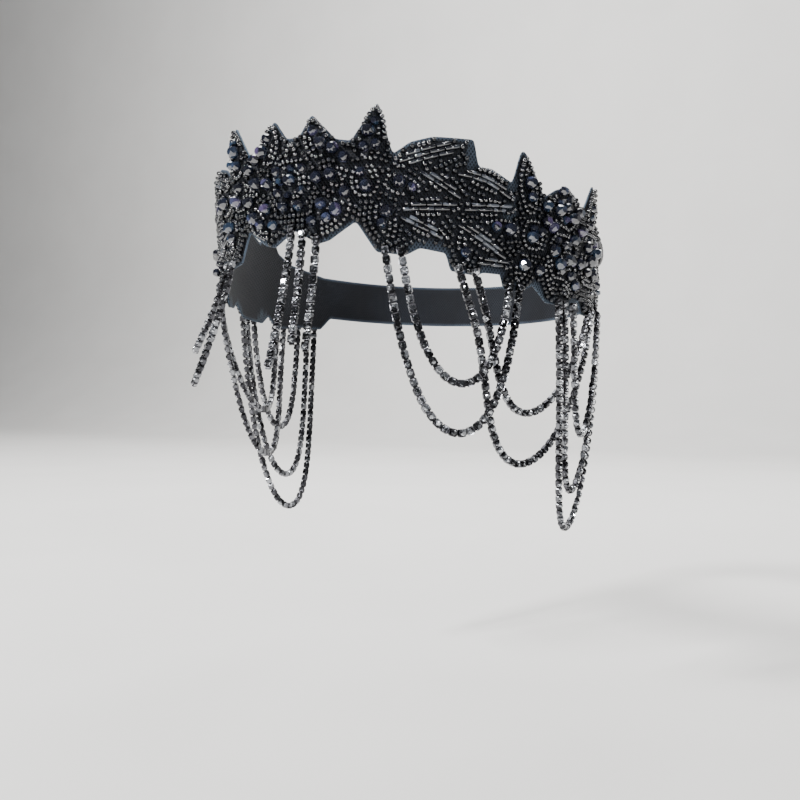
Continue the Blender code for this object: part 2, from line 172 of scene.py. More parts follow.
# Cut stones: piece, column, row, width in millimetres
SIDE_STONES = [
    ("front_flower_upper_left", 12.6, 9.0, 4.8), ("front_flower_upper_left", 9.8, 13.6, 3.7),
    ("front_flower_eye", 27.2, -1.8, 3.7), ("front_flower_eye", 29.2, -6.6, 4.8),
    ("front_flower_eye", 16.2, -2.2, 4.8), ("front_flower_up", 29.6, 12.6, 4.8),
    ("front_flower_up", 32.2, 8.0, 3.7), ("front_flower_up", 28.2, 7.0, 3.7),
    ("front_flower_right", 40.6, -5.0, 4.8), ("front_flower_right", 44.8, -6.8, 3.7),
    ("front_flower_low_right", 36.2, -15.6, 4.8), ("front_flower_low_right", 34.8, -19.8, 3.7),
    ("front_flower_low_left", 18.2, -14.8, 4.8), ("front_flower_low_left", 14.6, -17.6, 3.7),
    ("leaf_slant", 65.6, -28.4, 3.7), ("side_flower_eye", 93.8, -19.4, 4.8),
    ("side_flower_eye", 98.2, -16.8, 3.7), ("side_flower_up", 91.2, 0.4, 4.8),
    ("side_flower_up", 92.4, -4.6, 3.7), ("side_flower_left", 77.4, -17.8, 3.7),
    ("side_flower_left", 83.2, -18.2, 4.8), ("side_flower_low", 91.0, -30.2, 4.8),
    ("side_flower_back", 107.6, -6.8, 4.8), ("side_flower_back", 112.8, -4.6, 3.7),
    ("side_flower_back", 117.4, -8.2, 4.8), ("side_cluster", 106.4, -22.6, 4.8),
    ("side_cluster", 110.6, -27.0, 4.8), ("side_cluster", 116.4, -24.6, 4.8),
    ("side_cluster", 113.2, -19.4, 3.7), ("side_cluster", 119.2, -30.6, 3.7),
    ("rear_flower", 131.6, -17.0, 3.7), ("rear_flower", 136.6, -21.6, 4.8),
    ("rear_flower", 142.4, -17.2, 4.8), ("rear_flower", 141.8, -26.8, 3.7),
    ("rear_flower", 133.6, -26.6, 3.7),
]
CENTRE_STONES = [
    ("front_centre", 0.0, -3.2, 4.8), ("front_centre", -5.6, 0.6, 3.7),
    ("front_centre", 5.6, 0.6, 3.7), ("front_centre", -5.0, -7.4, 3.7),
    ("front_centre", 5.0, -7.4, 3.7),
]

# Cut stones between the motifs of one side: column, row, width in millimetres
LOOSE_STONES = [
    (3.4, -12.4, 4.2), (10.8, -3.0, 4.6), (16.9, 7.2, 4.6), (21.0, 3.8, 4.2), (21.4, -8.4, 4.4),
    (12.2, -12.2, 4.4), (8.6, -18.4, 4.0), (101.2, -12.2, 4.4), (101.0, -6.2, 4.2), (105.4, -13.6, 4.6),
    (120.2, -16.2, 4.6), (121.6, -5.0, 4.6), (125.8, -11.4, 4.4), (127.2, -24.4, 4.4),
    (99.4, -31.0, 4.2), (124.0, -33.4, 4.2), (109.4, 1.2, 3.8),
]

# Patches of net left bare on one side: column, row, half width, half height
BARE_NET = [
    (52.5, -28.6, 8.4, 2.9), (14.8, 14.6, 4.4, 3.6), (67.4, 8.0, 2.8, 6.0), (84.6, -1.2, 3.2, 2.6),
    (38.6, 7.4, 2.4, 3.4), (84.6, -11.6, 2.8, 1.8), (78.0, -34.2, 6.6, 1.7), (87.6, -39.0, 3.4, 1.8),
    (100.0, -39.0, 5.4, 3.6), (128.6, -40.4, 6.4, 3.4), (20.0, -22.6, 6.0, 2.4),
]

# Swags of one side: piece, start and end column; in millimetres, depth of the lowest point on the left
# and on the right, lean outwards on the left and on the right; as shares, how far it follows the round
# of the band and how far its front half is gathered
SWAGS = [
    ("swag_front_outer", 35.8, 89.8, 90.5, 72.0, 5.0, 14.5, 1.0, 0.0),
    ("swag_front_inner", 41.4, 85.2, 72.5, 58.0, 5.0, 12.5, 1.0, 0.0),
    ("swag_side_outer", 62.6, 148.8, 104.5, 104.5, -6.0, -6.0, 0.75, 0.14),
    ("swag_side_inner", 69.2, 143.8, 84.0, 84.0, -6.0, -6.0, 0.80, 0.06),
    ("swag_back_outer", 112.6, 171.2, 133.5, 133.5, -6.0, -6.0, 1.0, 0.0),
    ("swag_back_middle", 117.0, 166.6, 117.5, 117.5, -5.0, -5.0, 1.0, 0.0),
    ("swag_back_inner", 124.0, 160.2, 93.5, 93.5, -2.0, -2.0, 1.0, 0.0),
]

# Fringe: piece, column, length in millimetres, forward lean as a share of it
FRINGE = [
    ("fringe_long", 0.6, 53.0, 0.27),
    ("fringe_middle", 5.0, 42.0, 0.17),
    ("fringe_short", 10.6, 42.0, 0.17),
]

# Camera: angle from the front towards +X, dip, distance and height in metres, lens and shift
CAMERA_TURN = math.radians(28.5)
CAMERA_DIP = math.radians(0.7)
CAMERA_DISTANCE = 0.4056
CAMERA_HEIGHT = -0.0744
CAMERA_LENS = 39.15
CAMERA_SHIFT = -15.5 / 800.0

# Floor, in metres: its level, the distance to its bend and the bend's radius
FLOOR_LEVEL = -0.215
FLOOR_BACK = 1.6
FLOOR_ROUND = 0.8

# Lamps: name, place, target, size, power
MIDDLE = (0.0, 0.0, -0.03)
LAMPS = [
    ("key", (-0.60, -1.15, 0.80), MIDDLE, 0.18, 50.0),
    ("side", (1.05, -0.85, 0.40), MIDDLE, 0.16, 11.0),
    ("back", (0.35, 1.10, 0.85), MIDDLE, 0.50, 9.0),
    ("overhead", (0.0, 0.3, 1.6), MIDDLE, 0.60, 12.0),
    ("backdrop", (-0.6, 0.5, 1.6), (-1.1, 2.4, 0.4), 1.80, 84.0),
]

# Finishes of glass and metal: colours over the beads' chance order, range of polish, and scale
FINISHES = {
    "black seed beads": dict(
        stops=[(0.0, (0.003, 0.003, 0.005)), (0.8, (0.006, 0.007, 0.011)), (1.0, (0.020, 0.022, 0.032))],
        roughness=(0.03, 0.08), scale=420.0, ior=2.0),
    # Ground beads: the same black beads, darker and duller, as painted shade between the motifs
    "ground beads": dict(
        stops=[(0.0, (0.002, 0.002, 0.003)), (0.8, (0.004, 0.005, 0.008)), (1.0, (0.012, 0.014, 0.020))],
        roughness=(0.06, 0.22), scale=420.0, ior=1.5),
    "black bugles": dict(
        stops=[(0.0, (0.004, 0.004, 0.006)), (0.7, (0.012, 0.014, 0.020)), (1.0, (0.08, 0.09, 0.11))],
        roughness=(0.06, 0.12), scale=240.0, metallic=0.1, ior=2.0),
    "black cut stones": dict(
        stops=[(0.0, (0.003, 0.003, 0.006)), (0.7, (0.006, 0.008, 0.018)), (0.86, (0.016, 0.034, 0.065)),
               (1.0, (0.050, 0.036, 0.085))],
        roughness=(0.02, 0.06), scale=260.0, ior=2.2),
    "gunmetal cups": dict(
        stops=[(0.0, (0.03, 0.03, 0.034)), (0.6, (0.09, 0.09, 0.10)), (1.0, (0.34, 0.35, 0.37))],
        roughness=(0.18, 0.30), scale=300.0, metallic=1.0, detail=0.25),
    # Near-black links, darker than the cups' own metal: painted shade in the gaps between cups
    "links in painted gap shade": dict(
        stops=[(0.0, (0.008, 0.008, 0.010)), (1.0, (0.020, 0.020, 0.024))],
        roughness=(0.30, 0.45), scale=300.0, metallic=0.8),
    "chain stones": dict(
        stops=[(0.0, (0.012, 0.013, 0.016)), (0.5, (0.06, 0.065, 0.075)), (1.0, (0.70, 0.72, 0.76))],
        roughness=(0.03, 0.08), scale=300.0, metallic=0.9, ior=1.9, coat=1.0),
}
LOOKS = {}


class HeadChainSettings(bpy.types.PropertyGroup):
    """Sizes of the beads and the chain, and the pale colour that painted light gives the net's bare
    threads.
    """

    bead_width: bpy.props.FloatProperty(
        name="Seed bead width", description="Across the bead, square to its hole", default=0.00196,
        unit="LENGTH")
    bead_length: bpy.props.FloatProperty(
        name="Seed bead length", description="Along the bead's hole", default=0.00158, unit="LENGTH")
    bead_pitch: bpy.props.FloatProperty(
        name="Seed bead pitch", description="From bead to bead along a sewn row", default=0.00192,
        unit="LENGTH")
    row_pitch: bpy.props.FloatProperty(
        name="Row pitch", description="From one row of seed beads to the next", default=0.00205,
        unit="LENGTH")
    bugle_length: bpy.props.FloatProperty(
        name="Bugle length", description="Length of a bugle bead", default=0.0054, unit="LENGTH")
    bugle_width: bpy.props.FloatProperty(
        name="Bugle width", description="Across a bugle bead", default=0.00145, unit="LENGTH")
    cup_width: bpy.props.FloatProperty(
        name="Cup width", description="Across one cup of the chain", default=0.0029, unit="LENGTH")
    cup_pitch: bpy.props.FloatProperty(
        name="Cup pitch", description="From cup to cup along the chain", default=0.0035,
        unit="LENGTH")
    mesh_size: bpy.props.FloatProperty(
        name="Net mesh", description="Side of one opening of the net", default=0.0011, unit="LENGTH")
    # Pale threads at the bare rims and patches: painted light on translucent net
    lit_thread_colour: bpy.props.FloatVectorProperty(
        name="Thread colour", description="Threads of the net where they show without beads",
        default=(0.070, 0.095, 0.130), min=0.0, max=1.0, subtype="COLOR")


def settings():
    """The sizes and colour set in the sidebar."""
    return bpy.context.scene.head_chain


def girth_table():
    """Distance along the seat line from the front centre, at even angles round the ellipse."""
    angle = np.linspace(0.0, math.pi, 1441)
    speed = np.hypot(HEAD_HALF_WIDTH * np.cos(angle), HEAD_HALF_DEPTH * np.sin(angle))
    steps = (speed[1:] + speed[:-1]) / 2 * np.diff(angle)
    return angle, np.concatenate([[0.0], np.cumsum(steps)])


ANGLES, DISTANCES = girth_table()
HALF_GIRTH = DISTANCES[-1]


def on_band(column, row, out):
    """Point of the tilted, flared band, in millimetres: the ellipse of the head grown by the flare
    times the row and by out, at the angle of the column, raised by the row and tipped by the tilt."""
    column = np.asarray(column, float)
    row = np.asarray(row, float)
    angle = np.sign(column) * np.interp(np.abs(column), DISTANCES, ANGLES)
    reach = BAND_FLARE * row + out
    x = (HEAD_HALF_WIDTH + reach) * np.sin(angle)
    y = -(HEAD_HALF_DEPTH + reach) * np.cos(angle)
    turn, rise = math.cos(BAND_TILT), math.sin(BAND_TILT)
    return np.stack(np.broadcast_arrays(x, y * turn + row * rise, row * turn - y * rise), axis=-1)


def unit(vectors):
    """Vectors divided by their own lengths."""
    return vectors / np.linalg.norm(vectors, axis=-1, keepdims=True)


def band_frames(places, directions, out):
    """Positions and axes of pieces sewn on the band: along their chart direction, across, and out."""
    column, row = places[:, 0], places[:, 1]
    centre = on_band(column, row, out)
    outwards = unit(on_band(column, row, np.asarray(out) + 0.5) - centre)
    ahead = on_band(column + 0.2 * directions[:, 0], row + 0.2 * directions[:, 1], out) - centre
    along = unit(ahead - outwards * np.sum(ahead * outwards, axis=1, keepdims=True))
    return centre, along, np.cross(outwards, along), outwards


def net_edge(table, column):
    """Row of one edge of the net at a column."""
    points = np.array(table)
    return np.interp(np.abs(column), points[:, 0], points[:, 1])


def rounded_edge(table, column, reach):
    """The same edge with its corners worn round: the mean of nine readings within reach."""
    shifts = np.linspace(-reach, reach, 9)
    return np.mean([net_edge(table, column + shift) for shift in shifts], axis=0)


def mirrored(row, side, suffix):
    """A row of the beadwork table taken to one side of the head."""
    piece, outline, base, base_row, tip, tip_row, width, bow = row
    return piece + suffix, outline, side * base, base_row, side * tip, tip_row, width, side * bow


def outline_place(row, share, across):
    """Places on the chart at a share of a petal's length and a distance across its middle line."""
    _, _, base, base_row, tip, tip_row, _, bow = row
    axis = np.array([tip - base, tip_row - base_row])
    length = np.hypot(*axis)
    normal = np.array([-axis[1], axis[0]]) / length
    shift = bow * length * np.sin(math.pi * np.clip(share, 0, 1)) + across
    return np.stack([base + axis[0] * share + normal[0] * shift,
                     base_row + axis[1] * share + normal[1] * shift], axis=-1)


def outline_length(row):
    """Distance from a petal's base to its tip on the chart."""
    return math.hypot(row[4] - row[2], row[5] - row[3])


def half_width(row, share):
    """Half width of a petal: swelling as a sine from the base share to full and on to the tip share."""
    base_share, tip_share, widest = OUTLINES[row[1]]
    share = np.clip(share, 0.0, 1.0)
    ends = base_share + (tip_share - base_share) * share
    swell = np.clip(np.sin(math.pi * share ** (math.log(0.5) / math.log(widest))), 0.0, 1.0)
    return row[6] / 2 * (ends + (1 - ends) * swell**0.9)


def even_places(line, pitch, closed):
    """Places and directions at an even pitch on a line of chart points."""
    if closed:
        line = np.vstack([line, line[:1]])
    steps = np.linalg.norm(np.diff(line, axis=0), axis=1)
    walked = np.concatenate([[0.0], np.cumsum(steps)])
    count = max(1, int(round(walked[-1] / pitch)))
    at = (np.arange(count) + 0.5) * walked[-1] / count
    places = np.stack([np.interp(at, walked, line[:, k]) for k in (0, 1)], axis=-1)
    before = np.stack([np.interp(at - 0.4, walked, line[:, k]) for k in (0, 1)], axis=-1)
    after = np.stack([np.interp(at + 0.4, walked, line[:, k]) for k in (0, 1)], axis=-1)
    return places, unit(after - before + 1e-9)


def ring_places(row, inset, pitch):
    """One row of beads round a petal, at an inset from its outline; a single line where it closes up."""
    length = outline_length(row)
    share = np.linspace(inset / length, 1 - inset / length, 60)
    half = half_width(row, share) - inset
    if half.max() < 0.45 * pitch:
        if half.max() < -0.45 * pitch:
            return np.zeros((0, 2)), np.zeros((0, 2))
        return even_places(outline_place(row, share[half > -0.5 * pitch], 0.0), pitch, False)
    kept = half > 0.0
    share, half = share[kept], half[kept]
    line = np.vstack([outline_place(row, share, half), outline_place(row, share[::-1], -half[::-1])])
    return even_places(line, pitch, True)


class Sewing:
    """Collects sewn places, and keeps new ones off those that are taken."""

    def __init__(self):
        self.taken = np.zeros((0, 3))
        self.seeds = {}
        self.bugles = {}
        self.studs = {}

    def free(self, places, reach):
        """Which places lie further from all that is taken than its own reach plus this one."""
        if not len(self.taken) or not len(places):
            return np.ones(len(places), bool)
        apart = np.linalg.norm(places[:, None] - self.taken[None, :, :2], axis=2)
        return (apart > reach + self.taken[None, :, 2]).all(axis=1)

    def claim(self, places, reach):
        self.taken = np.vstack([self.taken, np.column_stack([places, np.full(len(places), reach)])])

    def sew(self, piece, places, directions, reach):
        """Seed beads for a piece, where there is room."""
        kept = self.free(places, reach)
        self.claim(places[kept], reach)
        self.seeds.setdefault(piece, []).append(np.hstack([places[kept], directions[kept]]))


def bugle_rows(row, length, pitch, inset):
    """Bugles in rows side by side along a leaf, staggered from row to row, within an inset from its
    outline."""
    step = (length + 0.3) / outline_length(row)
    count = max(2, int(2 * (half_width(row, 0.45) - inset) / pitch + 0.35))
    found = []
    for number in range(count):
        across = (number - (count - 1) / 2) * pitch
        share = np.arange(0.02 + (0.35 + 0.5 * (number % 2)) * step, 1 - 0.4 * step, step)
        share = share[half_width(row, share) - inset + 0.55 > abs(across)]
        middle = outline_place(row, share, across)
        found.append(np.hstack([middle, unit(outline_place(row, share + 0.05, across) - middle)]))
    return np.vstack(found)


def sew_leaf(work, piece, row):
    """A leaf: rows of bugles within one ring of seed beads."""
    s = settings()
    pitch, row_pitch = s.bead_pitch * 1000, s.row_pitch * 1000
    length, width = s.bugle_length * 1000, s.bugle_width * 1000
    wide = row[6] > 6.5
    rods = bugle_rows(row, length, width + 0.2, row_pitch if wide else 0.75)
    work.bugles.setdefault(piece, []).append(rods)
    for share in (-0.36, -0.18, 0.0, 0.18, 0.36):
        work.claim(rods[:, :2] + rods[:, 2:] * share * length, 0.5 * width)
    work.sew(piece, *ring_places(row, 0.5 * row_pitch if wide else -0.05, pitch), SEED_REACH * pitch)


def sew_petal(work, piece, row):
    """A petal: one ring of seed beads, rings of small stones within it, and seed beads in the rest."""
    s = settings()
    pitch, row_pitch = s.bead_pitch * 1000, s.row_pitch * 1000
    work.sew(piece, *ring_places(row, 0.5 * row_pitch, pitch), SEED_REACH * pitch)
    inset = row_pitch + 0.55 * SMALL_STONE
    while inset < row[6] / 2 + 0.3 * SMALL_STONE:
        places, directions = ring_places(row, inset, 1.12 * SMALL_STONE)
        free = work.free(places, 0.48 * SMALL_STONE)
        work.claim(places[free], 0.48 * SMALL_STONE)
        work.studs.setdefault(piece, []).append(np.hstack([places[free], directions[free]]))
        inset += 1.06 * SMALL_STONE
    inset = 1.5 * row_pitch
    while inset < row[6] / 2 + 0.5 * row_pitch:
        work.sew(piece, *ring_places(row, inset, pitch), SEED_REACH * pitch)
        inset += row_pitch


def sew_all():
    """Every bead of the band in chart places: leaves and petals first, then, past a dark gap, rows that
    follow them, then single beads where one still fits."""
    pitch, row_pitch = settings().bead_pitch * 1000, settings().row_pitch * 1000
    reach = SEED_REACH * pitch
    work = Sewing()
    pads = list(CENTRE_BEADWORK)
    stones = list(CENTRE_STONES)
    for side, suffix in ((1, "_l"), (-1, "_r")):
        pads += [mirrored(row, side, suffix) for row in SIDE_BEADWORK]
        stones += [(piece + suffix, side * column, row, width) for piece, column, row, width in SIDE_STONES]
        stones += [("loose" + suffix, side * column, row, width) for column, row, width in LOOSE_STONES]
    for _, column, row, width in stones:
        work.claim(np.array([[column, row]]), width / 2 - 0.25)
    for row in [pad for pad in pads if pad[1] == "leaf"]:
        sew_leaf(work, row[0], row)
    for row in [pad for pad in pads if pad[1] != "leaf"]:
        sew_petal(work, row[0], row)
    work.taken[:, 2] += MOTIF_GAP
    for inset in GROUND_ROWS:
        for row in pads:
            places, directions = ring_places(row, -inset * row_pitch, pitch)
            kept = on_ground(places)
            work.sew("ground", places[kept], directions[kept], reach)
    spots = np.stack(np.meshgrid(np.arange(-BEADED_COLUMNS, BEADED_COLUMNS, FILL_STEP),
                                 np.arange(-44.0, 26.0, FILL_STEP)), axis=-1).reshape(-1, 2)
    spots = spots[on_ground(spots)]
    spots = spots[work.free(spots, reach)]
    for spot in spots:
        work.sew("ground", spot[None, :], np.array([[1.0, 0.0]]), reach)
    return work, stones


def on_ground(places):
    """Which places lie on the net, clear of its edges and of the bare patches."""
    column, row = places[:, 0], places[:, 1]
    inside = (row > net_edge(NET_BOTTOM, column) + 1.0) & (row < net_edge(NET_TOP, column) - 1.0)
    return inside & (np.abs(column) < BEADED_COLUMNS) & ~on_bare_net(column, row)


def on_bare_net(column, row):
    """Which places lie in one of the patches without beads."""
    bare = np.zeros(np.shape(column), bool)
    for middle, height, half, half_height in BARE_NET:
        bare |= ((np.abs(column) - middle) / half) ** 2 + ((row - height) / half_height) ** 2 < 1
    return bare


def lathe(stations, radii, sides):
    """Closed turned form: a ring of points for each station along its axis, capped at both ends."""
    angle = np.arange(sides) * 2 * math.pi / sides
    rings = [np.column_stack([np.full(sides, s), r * np.cos(angle), r * np.sin(angle)])
             for s, r in zip(stations, radii)]
    faces = [list(range(sides))[::-1]]
    for ring in range(len(stations) - 1):
        a, b = ring * sides, (ring + 1) * sides
        for i in range(sides):
            k = (i + 1) % sides
            faces.append([a + i, a + k, b + k, b + i])
    top = (len(stations) - 1) * sides
    faces.append([top + i for i in range(sides)])
    return np.vstack(rings), faces


def seed_bead_form():
    """Seed bead, hole along its first axis: a barrel with round shoulders."""
    s = settings()
    h, r = s.bead_length * 500, s.bead_width * 500
    return lathe([-h, -0.72 * h, 0.0, 0.72 * h, h], [0.42 * r, 0.84 * r, r, 0.84 * r, 0.42 * r], 8)


def bugle_form():
    """Bugle bead: a straight tube with its rims just broken."""
    s = settings()
    h, r = s.bugle_length * 500, s.bugle_width * 500
    return lathe([-h, -0.96 * h, 0.96 * h, h], [0.72 * r, r, r, 0.72 * r], 8)


def cut_stone_form(width):
    """Cut stone standing on its third axis: table, eight upper and sixteen lower crown facets, girdle
    and a tapering back."""
    r = width / 2
    upper = (np.arange(8) + 0.5) * math.pi / 4
    lower = np.arange(8) * math.pi / 4
    rim = np.arange(16) * math.pi / 8
    rings = []
    for radius, height, angle in ((0.52 * r, -1.1, upper), (r, 0.0, rim), (r, 0.16 * width, rim),
                                  (0.86 * r, 0.38 * width, upper), (0.56 * r, 0.60 * width, lower)):
        rings.append(np.column_stack([radius * np.cos(angle), radius * np.sin(angle),
                                      np.full(len(angle), height)]))
    faces = [list(range(8))[::-1]]
    for i in range(8):
        k, m = (i + 1) % 8, 2 * i
        rim_at = [8 + (m + n) % 16 for n in range(4)]
        high_at = [24 + (m + n) % 16 for n in range(4)]
        faces.append([i, rim_at[1], rim_at[0]])
        faces.append([i, rim_at[2], rim_at[1]])
        faces.append([i, k, rim_at[2]])
        for n in (0, 1):
            faces.append([rim_at[n], rim_at[n + 1], high_at[n + 1], high_at[n]])
        faces.append([high_at[0], high_at[1], 40 + i])
        faces.append([high_at[1], high_at[2], 40 + i])
        faces.append([high_at[2], 40 + k, 40 + i])
        faces.append([40 + i, 48 + (i + 1) % 8, 48 + i])
        faces.append([40 + i, 40 + k, 48 + k])
    faces.append([48 + i for i in range(8)])
    return np.vstack(rings), faces


def small_stone_form(width, rise):
    """Small cut stone: flat back, eight-sided girdle and sixteen facets up to its table."""
    angle = np.arange(8) * math.pi / 4
    turned = angle + math.pi / 8
    r, table = width / 2, 0.30 * width
    low = np.column_stack([r * np.cos(angle), r * np.sin(angle), np.zeros(8)])
    high = np.column_stack([table * np.cos(turned), table * np.sin(turned), np.full(8, rise)])
    back = low * np.array([0.6, 0.6, 0.0]) - np.array([0.0, 0.0, 0.5 * rise])
    faces = [[7, 6, 5, 4, 3, 2, 1, 0], [16, 17, 18, 19, 20, 21, 22, 23]]
    for i in range(8):
        k = (i + 1) % 8
        faces += [[i, k, 8 + k, 8 + i], [8 + i, 8 + k, 16 + i], [8 + k, 16 + k, 16 + i]]
    return np.vstack([back, low, high]), faces


def block_form(low, high, taper=1.0):
    """Small block from its low to its high corner, its top drawn in by taper."""
    low, high = np.array(low), np.array(high)
    middle = (low + high) / 2
    points = np.array([[x, y, z] for z in (0, 1) for y in (0, 1) for x in (0, 1)], float)
    points = low + points * (high - low)
    points[4:, :2] = middle[:2] + (points[4:, :2] - middle[:2]) * taper
    return points, [[0, 2, 3, 1], [4, 5, 7, 6], [0, 1, 5, 4], [1, 3, 7, 5], [3, 2, 6, 7], [2, 0, 4, 6]]


def cup_forms():
    """One link of the cup chain, chain along its first axis: a square cup with four claws, the bar that
    joins it to the next, and the cut stone in it."""
    s = settings()
    half, step = s.cup_width * 500, s.cup_pitch * 1000
    square = np.array([(1, -0.74), (1, 0.74), (0.74, 1), (-0.74, 1), (-1, 0.74), (-1, -0.74),
                       (-0.74, -1), (0.74, -1)])
    rings = [np.column_stack([scale * half * square, np.full(8, height)])
             for scale, height in ((0.80, -1.30), (1.0, -0.90), (1.0, 0.40), (0.76, 0.30))]
    faces = [list(range(8))[::-1], [24 + i for i in range(8)]]
    for ring in (0, 8, 16):
        for i in range(8):
            k = (i + 1) % 8
            faces.append([ring + i, ring + k, ring + 8 + k, ring + 8 + i])
    metal = [(np.vstack(rings), faces)]
    for x in (-1, 1):
        for y in (-1, 1):
            points, sides = block_form((-0.30, -0.30, 0.2), (0.30, 0.30, 0.85), 0.5)
            points[4:, :2] -= np.array([x, y]) * 0.2
            metal.append((points + np.array([x, y, 0.0]) * 0.72 * half, sides))
    bar = block_form((0.9 * half, -0.9, -1.1), (step - 0.9 * half, 0.9, -0.2))
    stone, stone_faces = small_stone_form(0.80 * 2 * half, 0.80)
    return metal, bar, (stone + np.array([0.0, 0.0, 0.36]), stone_faces)


def joined(parts):
    """Several small forms as one, with a slot number for each face."""
    points, faces, slots, base = [], [], [], 0
    for (form, form_faces), slot in parts:
        points.append(form)
        faces += [[base + corner for corner in face] for face in form_faces]
        slots += [slot] * len(form_faces)
        base += len(form)
    return np.vstack(points), faces, np.array(slots)


def spread(form, frames, slot_of_faces):
    """Copies of one form in many frames, as whole arrays: each point is the frame's centre plus its
    three axes times the form's three coordinates."""
    points, faces = form
    centre, first, second, third = frames
    placed = (centre[:, None] + points[None, :, 0:1] * first[:, None]
              + points[None, :, 1:2] * second[:, None] + points[None, :, 2:3] * third[:, None])
    totals = np.array([len(face) for face in faces])
    corners = np.concatenate([np.array(face) for face in faces])
    count = len(centre)
    offsets = np.repeat(np.arange(count) * len(points), len(corners))
    return (placed.reshape(-1, 3), np.tile(corners, count) + offsets, np.tile(totals, count),
            np.tile(slot_of_faces, count))


def mesh_object(name, batches, looks, flat_slots=()):
    """One object from batches of points, corners, face sizes and slots; smooth but for flat_slots."""
    points, corners, totals, slots, base = [], [], [], [], 0
    for batch in batches:
        points.append(batch[0])
        corners.append(batch[1] + base)
        totals.append(batch[2])
        slots.append(batch[3])
        base += len(batch[0])
    points, corners = np.vstack(points) / 1000.0, np.concatenate(corners)
    totals, slots = np.concatenate(totals), np.concatenate(slots)
    mesh = bpy.data.meshes.new(name)
    mesh.vertices.add(len(points))
    mesh.vertices.foreach_set("co", points.astype(np.float32).ravel())
    mesh.loops.add(len(corners))
    mesh.loops.foreach_set("vertex_index", corners.astype(np.int32))
    mesh.polygons.add(len(totals))
    mesh.polygons.foreach_set("loop_start", np.concatenate([[0], np.cumsum(totals)[:-1]]).astype(np.int32))
    mesh.polygons.foreach_set("loop_total", totals.astype(np.int32))
    mesh.polygons.foreach_set("material_index", slots.astype(np.int32))
    smooth = ~np.isin(slots, flat_slots)
    mesh.polygons.foreach_set("use_smooth", smooth)
    for look in looks:
        mesh.materials.append(look)
    mesh.update(calc_edges=True)
    mesh.validate()
    made = bpy.data.objects.new(name, mesh)
    bpy.context.scene.collection.objects.link(made)
    return made


def material_nodes(name):
    """New material, with one helper that adds a node and one that sets the Principled shader. In both,
    another node's output is linked to the socket that is named, and any other value is set."""
    made = bpy.data.materials.new(name)
    made.use_nodes = True
    tree = made.node_tree

    def fill(node, values):
        for key, value in values.items():
            if isinstance(value, bpy.types.NodeSocket):
                tree.links.new(value, node.inputs[key])
            elif key in node.inputs:
                node.inputs[key].default_value = value
            else:
                setattr(node, key, value)
        return node

    def add(kind, values):
        return fill(tree.nodes.new(kind), values)

    def finish(values):
        fill(tree.nodes["Principled BSDF"], values)

    return made, add, finish


def ramp(add, stops, factor):
    """Colour read at a factor from a ramp of places and colours."""
    node = add("ShaderNodeValToRGB", {"Fac": factor})
    elements = node.color_ramp.elements
    while len(elements) < len(stops):
        elements.new(0.5)
    for element, (place, colour) in zip(elements, stops):
        element.position = place
        element.color = (*colour, 1.0)
    return node.outputs["Color"]


def glass_look(name, stops, roughness, scale, metallic=0.0, ior=1.55, coat=0.0, detail=0.0):
    """Polished glass or metal whose colour and polish change from bead to bead with a cell pattern."""
    made, add, finish = material_nodes(name)
    where = add("ShaderNodeTexCoord", {}).outputs["Object"]
    cells = add("ShaderNodeTexVoronoi", {"Scale": scale, "Vector": where})
    split = add("ShaderNodeSeparateColor", {"Color": cells.outputs["Color"]})
    polish = add("ShaderNodeMapRange", {"To Min": roughness[0], "To Max": roughness[1],
                                        "Value": split.outputs["Green"]})
    finish({"Base Color": ramp(add, stops, split.outputs["Red"]), "Roughness": polish.outputs["Result"],
            "Metallic": metallic, "IOR": ior, "Coat Weight": coat, "Coat Roughness": 0.03})
    if detail:
        grain = add("ShaderNodeTexNoise", {"Scale": 2600.0, "Detail": 2.0, "Vector": where})
        bump = add("ShaderNodeBump", {"Strength": detail, "Distance": 0.0001,
                                      "Height": grain.outputs["Fac"]})
        finish({"Normal": bump.outputs["Normal"]})
    return made


